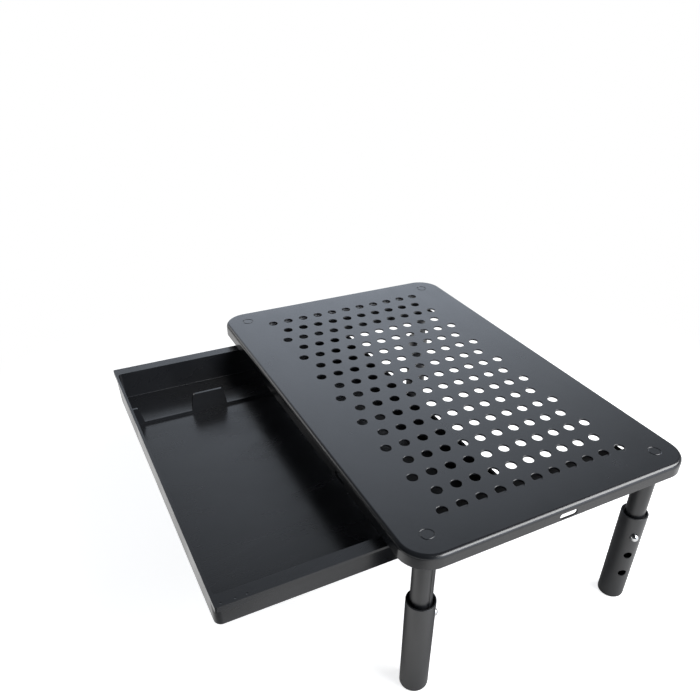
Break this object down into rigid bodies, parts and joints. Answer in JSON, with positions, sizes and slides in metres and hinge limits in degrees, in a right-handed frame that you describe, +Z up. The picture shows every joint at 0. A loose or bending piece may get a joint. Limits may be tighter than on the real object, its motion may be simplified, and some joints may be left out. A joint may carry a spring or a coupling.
{
  "type": "laptop stand with drawer",
  "caption": "Perforated steel riser for a laptop or monitor on four height-adjustable push-button legs, with a pull-out plastic drawer under the top.",
  "frame": {"origin": "centre of the platform's flat top face, where the laptop or monitor rests", "axes": "+X to the right and +Z up; +Y points to the back, so the drawer opens towards -Y"},
  "size_m": [0.37, 0.3477, 0.146],
  "materials": {
    "painted_steel": "satin black powder coat",
    "painted_tube": "satin dark grey powder coat",
    "black_plastic": "moulded black plastic",
    "drawer_plastic": "satin charcoal moulded plastic with flow marks",
    "foot_plastic": "moulded dark grey plastic",
    "chrome": "polished nickel chrome",
    "spring_steel": "plain spring steel",
    "zinc_steel": "dark zinc plate"
  },
  "bodies": {
    "stand": {"platform": "painted_steel", "rail_left": "painted_steel", "rail_right": "painted_steel", "keeper_left": "black_plastic", "keeper_right": "black_plastic", "keeper_rivets": "zinc_steel", "inner_tube_fl": "painted_tube", "glide_fl": "black_plastic", "leaf_spring_fl": "spring_steel", "inner_tube_fr": "painted_tube", "glide_fr": "black_plastic", "leaf_spring_fr": "spring_steel", "inner_tube_bl": "painted_tube", "glide_bl": "black_plastic", "leaf_spring_bl": "spring_steel", "inner_tube_br": "painted_tube", "glide_br": "black_plastic", "leaf_spring_br": "spring_steel"},
    "drawer": {"drawer_tray": "drawer_plastic"},
    "leg_fl": {"outer_tube_fl": "painted_tube", "guide_bush_fl": "black_plastic", "foot_cap_fl": "foot_plastic"},
    "leg_fr": {"outer_tube_fr": "painted_tube", "guide_bush_fr": "black_plastic", "foot_cap_fr": "foot_plastic"},
    "leg_bl": {"outer_tube_bl": "painted_tube", "guide_bush_bl": "black_plastic", "foot_cap_bl": "foot_plastic"},
    "leg_br": {"outer_tube_br": "painted_tube", "guide_bush_br": "black_plastic", "foot_cap_br": "foot_plastic"},
    "button_fl": {"snap_button_fl": "chrome"},
    "button_fr": {"snap_button_fr": "chrome"},
    "button_bl": {"snap_button_bl": "chrome"},
    "button_br": {"snap_button_br": "chrome"}
  },
  "joints": [
    {"name": "drawer_slide", "type": "slide", "parent": "stand", "child": "drawer", "axis": [0, -1, 0], "range_m": [-0.11, 0]},
    {"name": "leg_slide_fl", "type": "slide", "parent": "stand", "child": "leg_fl", "axis": [0, 0, 1], "range_m": [0, 0.04], "deforming": ["snap_button_fl"]},
    {"name": "leg_slide_fr", "type": "slide", "parent": "stand", "child": "leg_fr", "axis": [0, 0, 1], "range_m": [0, 0.04], "deforming": ["snap_button_fr"]},
    {"name": "leg_slide_bl", "type": "slide", "parent": "stand", "child": "leg_bl", "axis": [0, 0, 1], "range_m": [0, 0.04], "deforming": ["snap_button_bl"]},
    {"name": "leg_slide_br", "type": "slide", "parent": "stand", "child": "leg_br", "axis": [0, 0, 1], "range_m": [0, 0.04], "deforming": ["snap_button_br"]},
    {"name": "button_press_fl", "type": "slide", "parent": "stand", "child": "button_fl", "axis": [-0.6157, 0.788, 0], "range_m": [-0.0048, 0], "stiffness_N_per_m": 2500, "springref_m": 0.001, "deforming": ["leaf_spring_fl"]},
    {"name": "button_press_fr", "type": "slide", "parent": "stand", "child": "button_fr", "axis": [0.0349, 0.9994, 0], "range_m": [-0.0048, 0], "stiffness_N_per_m": 2500, "springref_m": 0.001, "deforming": ["leaf_spring_fr"]},
    {"name": "button_press_bl", "type": "slide", "parent": "stand", "child": "button_bl", "axis": [-0.2756, -0.9613, 0], "range_m": [-0.0048, 0], "stiffness_N_per_m": 2500, "springref_m": 0.001, "deforming": ["leaf_spring_bl"]},
    {"name": "button_press_br", "type": "slide", "parent": "stand", "child": "button_br", "axis": [0.8988, -0.4384, 0], "range_m": [-0.0048, 0], "stiffness_N_per_m": 2500, "springref_m": 0.001, "deforming": ["leaf_spring_br"]}
  ]
}
